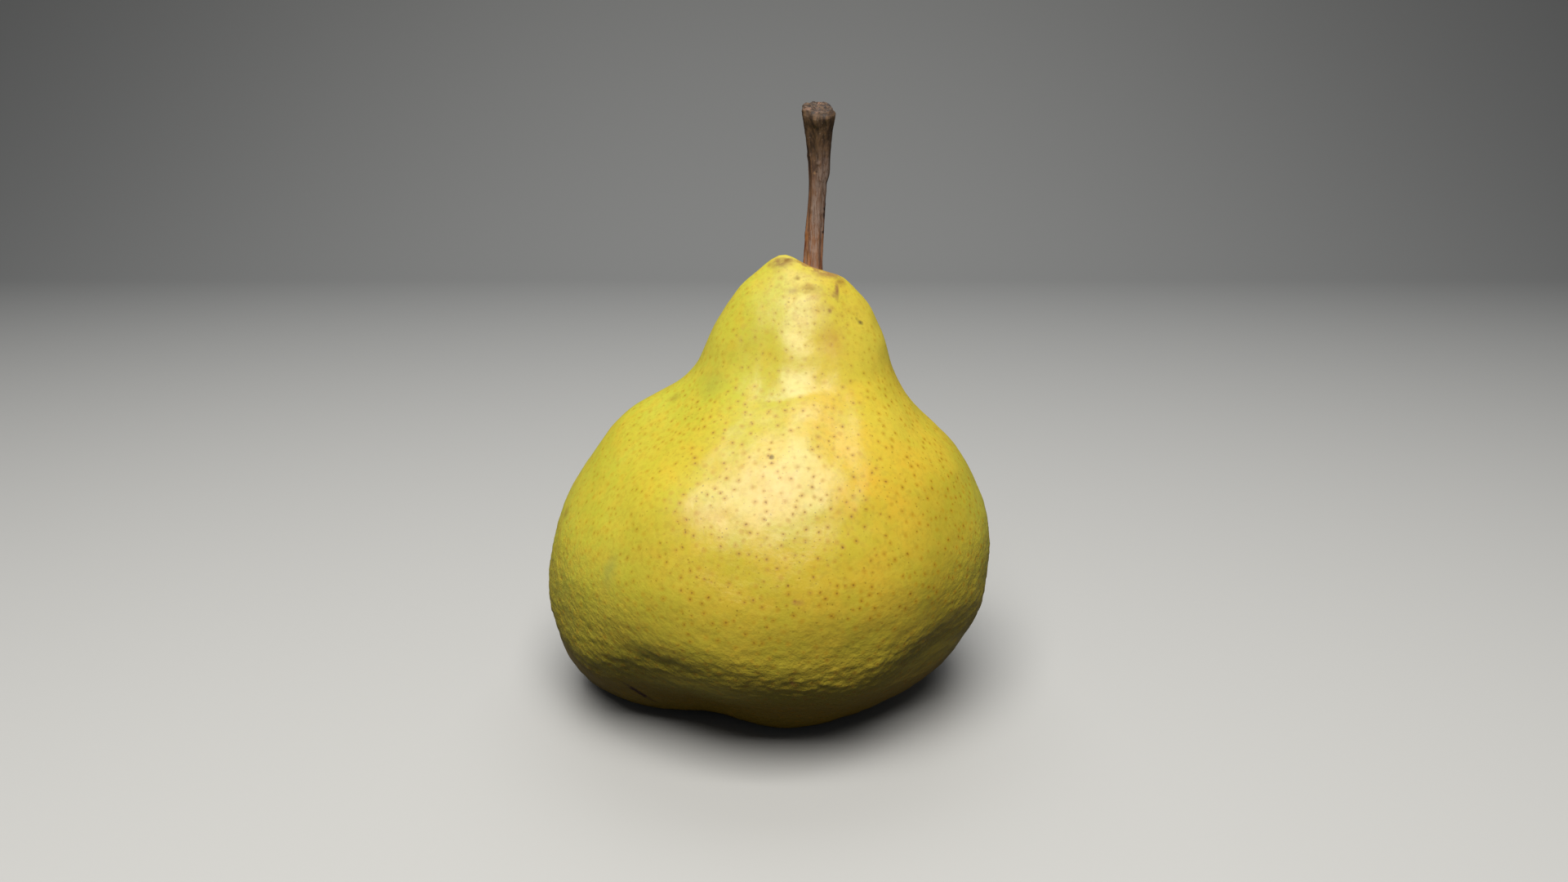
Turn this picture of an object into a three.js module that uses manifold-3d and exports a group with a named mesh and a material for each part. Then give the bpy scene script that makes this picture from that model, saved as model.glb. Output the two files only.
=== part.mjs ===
// A ripe pear standing on its own belly: the fruit, its woody stem and the dried calyx below.
// Millimetres, +Z up, the front of the pear faces -Y, the origin is on the ground at its middle.
import * as THREE from 'three';
import { mergeVertices } from 'three/addons/utils/BufferGeometryUtils.js';
import Module from 'manifold-3d';

// --- driving sizes -------------------------------------------------------------------------

// half outline of the fruit: calyx basin, belly, neck, crown and the pit of the stem
const OUTLINE = [
  [0, 5.7], [3.4, 5.5], [6.8, 4.1], [11.5, 1.2], [17.5, 0.3], [25.4, 2.2], [32.8, 9], [37.3, 20],
  [37, 31], [30.8, 41.8], [21.8, 50.3], [17, 56.5], [14.2, 63.5], [10, 69.8], [6, 72.4], [3.4, 72],
  [2, 70.8],
];
const SOCKET_FLOOR = 67;       // height of the blind end of the socket that holds the stem
const FRUIT_AROUND = 72;       // facets round the fruit
const FRUIT_STEPS = 48;        // rings from the basin to the pit

const LOBES = 5;               // soft lobes round the base
const LOBE_AZIMUTH = -84;      // degrees, direction of the first lobe
const LOBE_DEPTH = 0.7;
const LOBE_INNER = [4, 14];    // radii over which the lobes set in
const LOBE_HEIGHT = [2, 34];   // heights over which they die out

const LEAN = 4.5;              // the neck leans to +X
const LEAN_HEIGHT = [20, 62];
const STEM_SHIFT = [2.8, 1.6]; // the pit sits off the middle of the crown
const SHIFT_RADIUS = [3, 10];

// soft dents and swellings: where, how wide, and how far the skin is moved
const FRUIT_PUSHES = [
  { name: 'left shoulder', at: [-23, 0, 48], reach: 10, by: [-1.5, 0, 3] },
  { name: 'left flank', at: [-34, 0, 38], reach: 8, by: [-0.5, 0, 0.9] },
  { name: 'right shoulder', at: [25, 0, 49], reach: 9, by: [-0.5, 0, 0] },
  { name: 'front shoulder', at: [2, -22, 50], reach: 8, by: [0, -0.9, 0.95] },
  { name: 'front ledge', at: [3, -20, 52.2], reach: 3.4, by: [0, -0.25, 0.3] },
  { name: 'crown lip', at: [2.8, 0, 73], reach: 5.4, by: [0.1, 0, 3.4] },
  { name: 'crown slope', at: [11, 5, 74], reach: 4.5, by: [-1, 0, -2.5] },
  { name: 'front lip', at: [8.5, -4, 73], reach: 4.2, by: [0.4, 0, 0.4] },
  { name: 'crown edge', at: [14.5, -2, 69], reach: 4.5, by: [0.8, 0, -0.3] },
  { name: 'left cheek', at: [-33, -4, 8], reach: 13, by: [-2.5, 0, -2.9] },
  { name: 'front heel', at: [2, -33, 5], reach: 11, by: [0, 0.6, 3.8] },
  { name: 'front corner', at: [16, -28, 6], reach: 8, by: [0, 0.4, 0.8] },
  { name: 'front groove', at: [-11, -28, 4], reach: 9, by: [0.3, 0.6, 2.8] },
  { name: 'right heel', at: [28, -8, 4], reach: 11, by: [-0.5, 0, 1.5] },
  { name: 'front foot', at: [2, -17, 0], reach: 6, by: [0, 0, -0.5] },
  { name: 'right foot', at: [16, -4, 0], reach: 6, by: [0, 0, -0.5] },
  { name: 'back hollow', at: [-10, 33, 38], reach: 13, by: [0.3, -1.2, 0] },
  { name: 'upper left cheek', at: [-16, -25.4, 41.3], reach: 7.6, by: [-0.7, -1, 1.05] },
  { name: 'belly dimple', at: [-4.6, -35.9, 34.5], reach: 5.1, by: [0.05, 0.45, -0.2] },
  { name: 'upper right cheek', at: [16.7, -24.2, 42.5], reach: 9.1, by: [0.3, -0.55, 0.6] },
  { name: 'waist left', at: [-10, -19.3, 50], reach: 6.3, by: [-0.5, -0.6, 0.85] },
  { name: 'waist right', at: [15.3, -17.8, 51.3], reach: 7.7, by: [0.7, -1, 1] },
  { name: 'waist middle', at: [2.6, -21.5, 53.2], reach: 3.9, by: [0.05, 0.35, -0.35] },
  { name: 'neck front', at: [8, -15.3, 63.5], reach: 9.7, by: [-0.35, 1.4, -0.7] },
  { name: 'neck high', at: [0, -10.5, 70.5], reach: 6, by: [0.4, 1, -0.85] },
  { name: 'neck left', at: [-2, -12.5, 61.2], reach: 5.3, by: [0.7, 1.3, -0.55] },
  { name: 'shelf', at: [0, -21, 52], reach: 5, by: [0.05, 0.33, -0.38] },
  { name: 'shelf brow', at: [1.5, -25, 48.5], reach: 3.2, by: [0, 0.22, -0.2] },
  { name: 'crease', at: [-0.5, -16.2, 56], reach: 3.7, by: [0.05, 0.2, -0.2] },
  { name: 'crease right', at: [7.5, -18.4, 54.5], reach: 3.3, by: [0, -0.15, 0.2] },
  { name: 'brow', at: [4, -21, 52.2], reach: 3.9, by: [0, -0.15, 0.15] },
  { name: 'brow right', at: [9.5, -20, 52.8], reach: 4.4, by: [-0.05, 0.2, -0.25] },
  { name: 'groove head', at: [-22, -27, 7.5], reach: 7, by: [0.6, 1.2, 0.2] },
  { name: 'right hollow', at: [25, -26, 15.6], reach: 7.9, by: [-0.85, 0.9, 0.5] },
  { name: 'left hollow', at: [-17.7, -33, 16.6], reach: 7.3, by: [0.35, 0.7, 0.25] },
  { name: 'left heel', at: [-28.6, -23.3, 12.3], reach: 7.2, by: [-0.6, -0.65, -0.3] },
];

// stations along the stem from its root to the cut end: middle and radius
const STEM = [
  { at: [7.2, 1.6, 67.8], r: 1.5 }, { at: [7.2, 1.6, 71.4], r: 1.56 },
  { at: [7.2, 1.6, 75.2], r: 1.52 }, { at: [7.5, 1.7, 79.8], r: 1.47 },
  { at: [7.8, 1.6, 84.4], r: 1.4 }, { at: [8.06, 1.4, 88.3], r: 1.58 },
  { at: [8.02, 1, 91.8], r: 1.8 }, { at: [7.88, 0.5, 95.2], r: 2.18 },
  { at: [7.82, 0, 98], r: 2.6 },
];
const STEM_AROUND = 28;
const STEM_STEPS = 36;
const STEM_RIDGES = 7;         // lengthwise ridges of the bark
const RIDGE_DEPTH = 0.055;     // as a share of the radius
const RIDGE_TWIST = 0.9;       // radians from root to cut
const CUT_SLANT = 0.28;        // the cut end tips to the front
const CUT_CAP = [[0.93, 0.45], [0.72, 0.85], [0.4, 0.7], [0, 0.62]]; // share of radius, rise
const STEM_PUSHES = [
  { name: 'bud scar', at: [9.75, 1.2, 89.3], reach: 1.5, by: [0.1, -0.1, 0] },
  { name: 'nick', at: [9.55, 1.3, 86.9], reach: 0.8, by: [-0.25, 0, 0] },
  { name: 'knob', at: [5.5, -0.2, 98.2], reach: 1.7, by: [-0.15, -0.1, 0.6] },
  { name: 'worn corner', at: [10.2, 0, 98.2], reach: 1.5, by: [0.05, 0, -0.35] },
  { name: 'split', at: [8.4, -1.2, 99], reach: 0.8, by: [0, 0.1, -0.35] },
];

// dried calyx in the basin
const CUP = [
  [0, 5.3], [2.5, 5.1], [3.2, 4.7], [3.1, 4.1], [2.5, 3.6], [2, 3.9], [1.5, 4.4], [0, 4.6],
];
const CUP_AROUND = 24;
const SEPALS = 5;
const SEPAL_OUTLINE = [[0, 0], [0.7, 0.12], [1, 0.4], [0.8, 0.68], [0.35, 0.9], [0, 1]];
const SEPAL = { root: 2.2, length: 4.3, width: 1.35, thick: 0.3, top: 4.3, drop: 0.8, curl: 1.2 };
const STAMENS = 9;
const STAMEN = { radius: 0.2, length: 1.7, spread: 1.2, top: 4.75 };

// --- helpers -------------------------------------------------------------------------------

const wasm = await Module();
wasm.setup();

// repeatable draws between -1 and 1
function draws(seed) {
  let state = seed;
  return () => {
    state = (state * 16807) % 2147483647;
    return (state / 2147483647) * 2 - 1;
  };
}

const ramp = ([from, to], v) => THREE.MathUtils.smoothstep(v, from, to);

// moves a point by every push whose reach it lies in
function pushed(point, pushes) {
  for (const { at, reach, by } of pushes) {
    const away = point.distanceToSquared(new THREE.Vector3(...at));
    point.addScaledVector(new THREE.Vector3(...by), Math.exp(-away / reach ** 2));
  }
  return point;
}

// a lathe with its axis along Z whose every corner is then placed by place(radius, angle, height)
function turned(outline, around, place) {
  const points = outline.map(([r, h]) => new THREE.Vector2(r, h));
  const lathe = new THREE.LatheGeometry(points, around);
  const corners = lathe.attributes.position;
  for (let i = 0; i < corners.count; i += 1) {
    const ring = i % points.length;
    const angle = (Math.floor(i / points.length) / around) * 2 * Math.PI;
    const p = place(points[ring].x, angle, points[ring].y);
    corners.setXYZ(i, p.x, p.y, p.z);
  }
  return welded(lathe);
}

// joins equal corners and leaves out the triangles that have closed up at a pole
function welded(geometry) {
  geometry.deleteAttribute('normal');
  geometry.deleteAttribute('uv');
  const merged = mergeVertices(geometry, 1e-4);
  const index = merged.index.array;
  const kept = [];
  for (let i = 0; i < index.length; i += 3) {
    const [a, b, c] = index.slice(i, i + 3);
    if (a !== b && b !== c && c !== a) kept.push(a, b, c);
  }
  merged.setIndex(kept);
  return merged;
}

function toManifold(geometry) {
  return new wasm.Manifold(new wasm.Mesh({
    numProp: 3,
    vertProperties: Float32Array.from(geometry.attributes.position.array),
    triVerts: Uint32Array.from(geometry.index.array),
  }));
}

function fused(geometries) {
  const whole = geometries.map(toManifold).reduce((sum, next) => sum.add(next));
  const mesh = whole.getMesh();
  const geometry = new THREE.BufferGeometry();
  geometry.setAttribute('position', new THREE.BufferAttribute(mesh.vertProperties, 3));
  geometry.setIndex(new THREE.BufferAttribute(mesh.triVerts, 1));
  return geometry;
}

function piece(name, geometry, color, roughness) {
  geometry.computeVertexNormals();
  const material = new THREE.MeshStandardMaterial({ color, roughness, metalness: 0 });
  const mesh = new THREE.Mesh(geometry, material);
  mesh.name = name;
  return mesh;
}

// --- fruit ---------------------------------------------------------------------------------

// the outline drawn as a smooth curve, then the straight socket of the stem
function fruitOutline() {
  const curve = new THREE.SplineCurve(OUTLINE.map(([r, z]) => new THREE.Vector2(r, z)));
  const outline = curve.getPoints(FRUIT_STEPS).map((p) => [p.x, p.y]);
  const rim = OUTLINE[OUTLINE.length - 1][0];
  outline.push([rim, SOCKET_FLOOR], [0, SOCKET_FLOOR]);
  return outline;
}

function fruitPoint(radius, angle, height) {
  const lobe = Math.cos(LOBES * (angle - THREE.MathUtils.degToRad(LOBE_AZIMUTH)));
  const strength = LOBE_DEPTH * lobe * ramp(LOBE_INNER, radius) * (1 - ramp(LOBE_HEIGHT, height));
  const z = height - strength;
  const r = radius + strength / 2;
  const lean = ramp(LEAN_HEIGHT, z);
  const shift = lean * (1 - ramp(SHIFT_RADIUS, r));
  const x = r * Math.cos(angle) + LEAN * lean + STEM_SHIFT[0] * shift;
  const y = r * Math.sin(angle) + STEM_SHIFT[1] * shift;
  const point = pushed(new THREE.Vector3(x, y, z), FRUIT_PUSHES);
  point.z = Math.max(point.z, 0); // the lobes flatten where they rest
  return point;
}

function fruit() {
  return piece('fruit', turned(fruitOutline(), FRUIT_AROUND, fruitPoint), '#c8bb3c', 0.42);
}

// --- stem ----------------------------------------------------------------------------------

const stemPath = new THREE.CatmullRomCurve3(
  STEM.map(({ at }) => new THREE.Vector3(...at)), false, 'catmullrom', 0.5,
);
const stemRadius = new THREE.SplineCurve(STEM.map(({ r }, i) => new THREE.Vector2(r, i)));

// share of the length runs from 0 at the root to 1 at the cut, and the cap rises past it
function stemOutline() {
  const outline = [[0, 0]];
  for (let i = 0; i <= STEM_STEPS; i += 1) {
    const share = i / STEM_STEPS;
    outline.push([stemRadius.getPoint(share).x, share]);
  }
  const end = STEM[STEM.length - 1].r;
  for (const [share, rise] of CUT_CAP) outline.push([end * share, 1 + rise]);
  return outline;
}

function stemPoint(radius, angle, height) {
  const share = Math.min(height, 1);
  const along = stemPath.getTangent(share);
  const side = new THREE.Vector3(0, 1, 0).cross(along).normalize();
  const back = along.clone().cross(side);
  const r = radius * (1 + RIDGE_DEPTH * Math.cos(STEM_RIDGES * (angle + RIDGE_TWIST * share)));
  const slant = CUT_SLANT * r * Math.sin(angle) * ramp([0.88, 1], share);
  const point = stemPath.getPoint(share);
  point.addScaledVector(side, r * Math.cos(angle));
  point.addScaledVector(back, r * Math.sin(angle));
  point.addScaledVector(along, height - share + slant);
  return pushed(point, STEM_PUSHES);
}

function stem() {
  return piece('stem', turned(stemOutline(), STEM_AROUND, stemPoint), '#6d4b35', 0.8);
}

// --- calyx ---------------------------------------------------------------------------------

function round(radius, angle, height) {
  return new THREE.Vector3(radius * Math.cos(angle), radius * Math.sin(angle), height);
}

// a thin leaf that leaves the cup, follows the basin and curls down to its tip
function sepal(turn, longer, curl) {
  const { root, length, width, thick, top, drop } = SEPAL;
  const geometry = turned(SEPAL_OUTLINE, 10, (radius, angle, share) => new THREE.Vector3(
    root + length * longer * share,
    width * radius * Math.cos(angle),
    top - drop * share - curl * share ** 2 + thick * radius * Math.sin(angle),
  ));
  return geometry.rotateZ(turn);
}

function sepals() {
  const draw = draws(41);
  const leaves = [];
  for (let i = 0; i < SEPALS; i += 1) {
    const turn = (i / SEPALS) * 2 * Math.PI + 0.12 * draw();
    leaves.push(sepal(turn, 1 + 0.08 * draw(), SEPAL.curl * (1 + 0.25 * draw())));
  }
  return leaves;
}

function stamens() {
  const draw = draws(17);
  const threads = [];
  for (let i = 0; i < STAMENS; i += 1) {
    const angle = (i / STAMENS) * 2 * Math.PI;
    const out = STAMEN.spread * (0.7 + 0.3 * draw());
    const thread = welded(new THREE.ConeGeometry(STAMEN.radius, STAMEN.length, 6));
    thread.rotateX(-Math.PI / 2);
    thread.translate(0, 0, STAMEN.top - STAMEN.length / 2);
    thread.translate(out * Math.cos(angle), out * Math.sin(angle), 0);
    threads.push(thread);
  }
  return threads;
}

function calyx() {
  const cup = turned([...CUP].reverse(), CUP_AROUND, round);
  return piece('calyx', fused([cup, ...sepals(), ...stamens()]), '#4b3626', 0.9);
}

// --- pear ----------------------------------------------------------------------------------

const pear = new THREE.Group();
pear.name = 'pear';
pear.add(fruit(), stem(), calyx());

export default pear;
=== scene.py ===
"""A ripe pear: the skin, stem and calyx that show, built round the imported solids."""

import math

import bmesh
import bpy
import numpy as np
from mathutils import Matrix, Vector, kdtree, noise


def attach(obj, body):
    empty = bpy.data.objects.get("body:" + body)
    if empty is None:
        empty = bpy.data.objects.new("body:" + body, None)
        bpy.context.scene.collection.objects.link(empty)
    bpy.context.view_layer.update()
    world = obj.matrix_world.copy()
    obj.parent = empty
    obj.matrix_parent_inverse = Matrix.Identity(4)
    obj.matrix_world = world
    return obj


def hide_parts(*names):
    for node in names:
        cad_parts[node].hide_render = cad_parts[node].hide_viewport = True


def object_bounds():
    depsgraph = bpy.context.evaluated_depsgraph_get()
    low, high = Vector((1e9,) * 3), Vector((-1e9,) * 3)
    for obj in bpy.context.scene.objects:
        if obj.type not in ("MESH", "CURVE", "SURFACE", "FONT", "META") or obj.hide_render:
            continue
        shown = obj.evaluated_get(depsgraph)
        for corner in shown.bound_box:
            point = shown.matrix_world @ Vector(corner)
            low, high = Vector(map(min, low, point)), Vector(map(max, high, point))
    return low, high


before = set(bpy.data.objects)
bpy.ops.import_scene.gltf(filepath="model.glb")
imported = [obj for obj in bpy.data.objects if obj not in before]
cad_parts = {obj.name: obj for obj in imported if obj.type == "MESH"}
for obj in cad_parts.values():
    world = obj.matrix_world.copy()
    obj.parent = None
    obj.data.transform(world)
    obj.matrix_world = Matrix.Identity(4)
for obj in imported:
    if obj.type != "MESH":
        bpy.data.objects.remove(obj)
cad_box = [list(corner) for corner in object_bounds()]

MM = 0.001
TAU = 2 * math.pi

# --- the pear's sizes, in millimetres, as its solids have them ---

# half outline of the fruit: calyx basin, belly, neck, crown and the pit of the stem
OUTLINE = [
    (0, 5.7), (3.4, 5.5), (6.8, 4.1), (11.5, 1.2), (17.5, 0.3), (25.4, 2.2), (32.8, 9), (37.3, 20),
    (37, 31), (30.8, 41.8), (21.8, 50.3), (17, 56.5), (14.2, 63.5), (10, 69.8), (6, 72.4), (3.4, 72),
    (2, 70.8),
]
# heights in the socket that holds the root of the stem
SOCKET = (69.5, 68.2, 67)

# five lobes round the foot, and how far the neck leans and the stem's pit lies aside
LOBES = 5
LOBE_AZIMUTH = math.radians(-84)
LOBE_DEPTH = 0.7
LOBE_INNER = (4, 14)
LOBE_HEIGHT = (2, 34)
LEAN = 4.5
LEAN_HEIGHT = (20, 62)
STEM_SHIFT = (2.8, 1.6)
SHIFT_RADIUS = (3, 10)

# soft dents and swellings: where, how wide, and how far the skin is moved
FRUIT_PUSHES = {
    "left shoulder": ((-23, 0, 48), 10, (-1.5, 0, 3)),
    "left flank": ((-34, 0, 38), 8, (-0.5, 0, 0.9)),
    "right shoulder": ((25, 0, 49), 9, (-0.5, 0, 0)),
    "front shoulder": ((2, -22, 50), 8, (0, -0.9, 0.95)),
    "front ledge": ((3, -20, 52.2), 3.4, (0, -0.25, 0.3)),
    "crown lip": ((2.8, 0, 73), 5.4, (0.1, 0, 3.4)),
    "crown slope": ((11, 5, 74), 4.5, (-1, 0, -2.5)),
    "front lip": ((8.5, -4, 73), 4.2, (0.4, 0, 0.4)),
    "crown edge": ((14.5, -2, 69), 4.5, (0.8, 0, -0.3)),
    "left cheek": ((-33, -4, 8), 13, (-2.5, 0, -2.9)),
    "front heel": ((2, -33, 5), 11, (0, 0.6, 3.8)),
    "front corner": ((16, -28, 6), 8, (0, 0.4, 0.8)),
    "front groove": ((-11, -28, 4), 9, (0.3, 0.6, 2.8)),
    "right heel": ((28, -8, 4), 11, (-0.5, 0, 1.5)),
    "front foot": ((2, -17, 0), 6, (0, 0, -0.5)),
    "right foot": ((16, -4, 0), 6, (0, 0, -0.5)),
    "back hollow": ((-10, 33, 38), 13, (0.3, -1.2, 0)),
    "upper left cheek": ((-16, -25.4, 41.3), 7.6, (-0.7, -1, 1.05)),
    "belly dimple": ((-4.6, -35.9, 34.5), 5.1, (0.05, 0.45, -0.2)),
    "upper right cheek": ((16.7, -24.2, 42.5), 9.1, (0.3, -0.55, 0.6)),
    "waist left": ((-10, -19.3, 50), 6.3, (-0.5, -0.6, 0.85)),
    "waist right": ((15.3, -17.8, 51.3), 7.7, (0.7, -1, 1)),
    "waist middle": ((2.6, -21.5, 53.2), 3.9, (0.05, 0.35, -0.35)),
    "neck front": ((8, -15.3, 63.5), 9.7, (-0.35, 1.4, -0.7)),
    "neck high": ((0, -10.5, 70.5), 6, (0.4, 1, -0.85)),
    "neck left": ((-2, -12.5, 61.2), 5.3, (0.7, 1.3, -0.55)),
    "shelf": ((0, -21, 52), 5, (0.05, 0.33, -0.38)),
    "shelf brow": ((1.5, -25, 48.5), 3.2, (0, 0.22, -0.2)),
    "crease": ((-0.5, -16.2, 56), 3.7, (0.05, 0.2, -0.2)),
    "crease right": ((7.5, -18.4, 54.5), 3.3, (0, -0.15, 0.2)),
    "brow": ((4, -21, 52.2), 3.9, (0, -0.15, 0.15)),
    "brow right": ((9.5, -20, 52.8), 4.4, (-0.05, 0.2, -0.25)),
    "groove head": ((-22, -27, 7.5), 7, (0.6, 1.2, 0.2)),
    "right hollow": ((25, -26, 15.6), 7.9, (-0.85, 0.9, 0.5)),
    "left hollow": ((-17.7, -33, 16.6), 7.3, (0.35, 0.7, 0.25)),
    "left heel": ((-28.6, -23.3, 12.3), 7.2, (-0.6, -0.65, -0.3)),
}

# stations along the stem from its root to the cut end: middle and radius
STEM = [
    ((7.2, 1.6, 67.8), 1.5), ((7.2, 1.6, 71.4), 1.56), ((7.2, 1.6, 75.2), 1.52),
    ((7.5, 1.7, 79.8), 1.47), ((7.8, 1.6, 84.4), 1.4), ((8.06, 1.4, 88.3), 1.58),
    ((8.02, 1, 91.8), 1.8), ((7.88, 0.5, 95.2), 2.18), ((7.82, 0, 98), 2.6),
]
STEM_RIDGES = 7
RIDGE_DEPTH = 0.055
RIDGE_TWIST = 0.9
CUT_SLANT = 0.28
CUT_CAP = [(0.93, 0.45), (0.72, 0.85), (0.4, 0.7), (0, 0.62)]
STEM_PUSHES = {
    "bud scar": ((9.75, 1.2, 89.3), 1.5, (0.1, -0.1, 0)),
    "nick": ((9.55, 1.3, 86.9), 0.8, (-0.25, 0, 0)),
    "knob": ((5.5, -0.2, 98.2), 1.7, (-0.15, -0.1, 0.6)),
    "worn corner": ((10.2, 0, 98.2), 1.5, (0.05, 0, -0.35)),
    "split": ((8.4, -1.2, 99), 0.8, (0, 0.1, -0.35)),
}

# dried calyx in the basin, seen from below: a cup, five leaves and a tuft of threads
CUP = [
    (0, 5.3), (2.5, 5.1), (3.2, 4.7), (3.1, 4.1), (2.5, 3.6), (2, 3.9), (1.5, 4.4), (0, 4.6),
]
SEPALS = 5
SEPAL_OUTLINE = [(0, 0), (0.7, 0.12), (1, 0.4), (0.8, 0.68), (0.35, 0.9), (0, 1)]
SEPAL = {
    "root": 2.2, "length": 4.3, "width": 1.35, "thick": 0.3, "top": 4.3, "drop": 0.8, "curl": 1.2,
}
STAMENS = 9
STAMEN = {"radius": 0.2, "length": 1.7, "spread": 1.2, "bend": 0.25, "top": 4.75}

# --- the finer forms of the skin and the stem, in millimetres ---

# the short fold where neck and belly meet in front
FOLD = {"height": 55.9, "slope": 0.15, "middle": 3.6, "half": 4.1, "depth": 0.22, "width": 0.9}

# soft swellings down the front, from the neck to the belly: where, how wide and how tall
SWELLINGS = [
    ((2, -12, 62.5), 4.2, 0.2), ((2, -9.3, 67.5), 4.2, 0.22), ((3.8, -17.3, 56.2), 4.2, 0.25),
    ((3.2, -23.9, 49), 6, 0.32), ((-4, -33, 37.5), 6, 0.2),
]

# the low edge where the belly turns under, which rises and falls with the lobes
HEEL = {
    "height": 19.9, "swing": 3.2, "azimuth": math.radians(-74.5), "left_drop": 1.3, "tall": 0.38,
    "width": 3.4,
}

# small hollows in a slanting row just above that edge: where, half sizes and depth
POCKETS = [
    ((-20.4, -30.2, 19.8), (2.2, 2, 0.9), 0.3), ((-17.9, -31.1, 18.9), (2, 2, 0.9), 0.3),
    ((-15.3, -32.6, 18.4), (2, 2, 0.8), 0.28), ((-12.3, -34, 18.2), (2, 2, 0.7), 0.22),
    ((26, -23.8, 17.8), (2, 2, 1.5), 0.22),
]

# lumps all over the skin: size, height and seed of each layer, and how deep the whole lies
LUMPS = [(13, 0.13, 3.1), (5.5, 0.075, 6.3), (3, 0.09, 9.4), (1.7, 0.03, 2.6)]
LUMPS_SUNK = 0.15

# wrinkles: size, share and seed of their lumps, the creases between them, and their depths
WRINKLES = [(1.2, 1, 7.7), (0.75, 0.5, 4.2)]
CREASE = {"size": 1.9, "seed": 1.3, "lift": 0.2}
WRINKLE_DEPTH = {"everywhere": 0.008, "leathery": 0.18, "more_at_heel": 0.7, "heel_width": 4.5}

# the skin is even round the pit of the stem: where, and how far out the lumps come in
STEM_PIT = {"at": (8, 1, 74), "fade": (3, 9)}

# the bark: how its noise is drawn out along the stem, how tall its forms are, and where the cut is
BARK = {"drawn_out": 0.14, "cords": 0.05, "knots": 0.18, "torn": 0.2, "cut": (96.6, 98.6)}
CUT_FACES = (0, -0.27, 0.96)

# --- where the skin changes colour, in millimetres ---

# greener parts: strength, and where they come in, across and upwards; -1 to 0 is every height
GREEN_PARTS = [
    (0.87, (2, -34), (-1, 0)), (0.9, (10, 0), (47, 58)), (0.9, (25, 36), (14, 26)),
    (0.8, (15, 20), (56, 62)),
]

# soft patches: place, half sizes and strength
GOLD_PATCHES = [
    ((16, -24, 46), (11, 18, 10), 0.7), ((11, -18, 52), (8, 12, 7), 0.5),
    ((14, -32, 34), (12, 16, 9), 0.4), ((2, -34, 33), (16, 16, 9), 0.3),
]
PALE_SHOULDER = [((18, -14, 51), (7, 10, 5), 0.8)]
GREEN_STREAK = [((-5, -8, 65), (5, 8, 6), 0.9)]
FRECKLED_RIM = [((7, -8, 69.5), (7, 9, 6), 1.0)]

# the ring of russet skin round the stem
RUSSET = {"at": (8.2, 0.4), "fade": (6.4, 2.6), "height": (66, 70)}

# --- how finely the pieces that show are divided ---

# rings in each span of the outline
SPAN_RINGS = [6, 6, 10, 13, 24, 34, 38, 32, 20, 17, 14, 11, 11, 8, 4, 3]
FRUIT_AROUND = 384
STEM_AROUND, STEM_RINGS, CAP_RINGS = 112, 190, 24
CUP_AROUND, CUP_RINGS = 64, 57
LEAF_AROUND, LEAF_RINGS = 20, 41
THREAD_AROUND, THREAD_RINGS = 8, 15

# least distance between dots on the skin, and dots tried for each square millimetre
DOT_SPACING, DOT_SHARE = 1.05, 0.85


# --- curves and surfaces ---


def ramp(limits, value):
    """0 below the first limit, 1 above the second, and smooth between them."""
    share = np.clip((value - limits[0]) / (limits[1] - limits[0]), 0, 1)
    return share * share * (3 - 2 * share)


def along(stations, shares, doubled_ends):
    """Points at these shares of the way through the stations, on a smooth curve."""
    knots = np.array(stations, float)
    last = len(knots) - 1
    if doubled_ends:
        first_ghost, last_ghost = knots[0], knots[last]
    else:
        first_ghost, last_ghost = 2 * knots[0] - knots[1], 2 * knots[last] - knots[last - 1]
    padded = np.vstack([first_ghost, knots, last_ghost])
    place = np.clip(np.asarray(shares, float), 0, 1) * last
    index = np.minimum(place.astype(int), last - 1)
    t = (place - index)[:, None]
    p0, p1, p2, p3 = (padded[index + k] for k in range(4))
    start, end = (p2 - p0) / 2, (p3 - p1) / 2
    cubic, square = 2 * p1 - 2 * p2 + start + end, -3 * p1 + 3 * p2 - 2 * start - end
    return cubic * t**3 + square * t**2 + start * t + p1


def pushed(points, pushes):
    """Moves the points by soft dents and swellings, one after another."""
    for at, reach, by in pushes.values():
        away = ((points - np.array(at)) ** 2).sum(-1)
        points = points + np.exp(-away / reach**2)[..., None] * np.array(by)
    return points


def rings_mesh(name, rings):
    """A closed mesh from rings of points; the first and last ring have closed up to one point."""
    count, around = rings.shape[0] - 2, rings.shape[1]
    points = np.vstack([rings[0, :1], rings[1:-1].reshape(-1, 3), rings[-1, :1]])
    step = np.arange(around)
    ahead = (step + 1) % around
    faces = [(0, 1 + b, 1 + a) for a, b in zip(step, ahead)]
    for ring in range(count - 1):
        low = 1 + ring * around
        high = low + around
        faces += [(low + a, low + b, high + b, high + a) for a, b in zip(step, ahead)]
    top = 1 + (count - 1) * around
    faces += [(top + a, top + b, top + around) for a, b in zip(step, ahead)]
    mesh = bpy.data.meshes.new(name)
    mesh.from_pydata((points * MM).tolist(), [], faces)
    mesh.update()
    return mesh


def vectors(items, name):
    """The vector of this name that each of these items holds."""
    flat = np.zeros(len(items) * 3, np.float32)
    items.foreach_get(name, flat)
    return flat.reshape(-1, 3)


def corners(mesh):
    return vectors(mesh.vertices, "co").astype(float) / MM


def normals(mesh):
    return vectors(mesh.vertex_normals, "vector").astype(float)


def set_corners(mesh, points):
    mesh.vertices.foreach_set("co", (points * MM).astype(np.float32).ravel())
    mesh.update()


def grain(points, size, seed):
    """Smooth noise from -1 to 1 whose lumps are about this many millimetres across."""
    scaled = points / size + seed
    return np.array([noise.noise(Vector(p)) for p in scaled])


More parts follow.
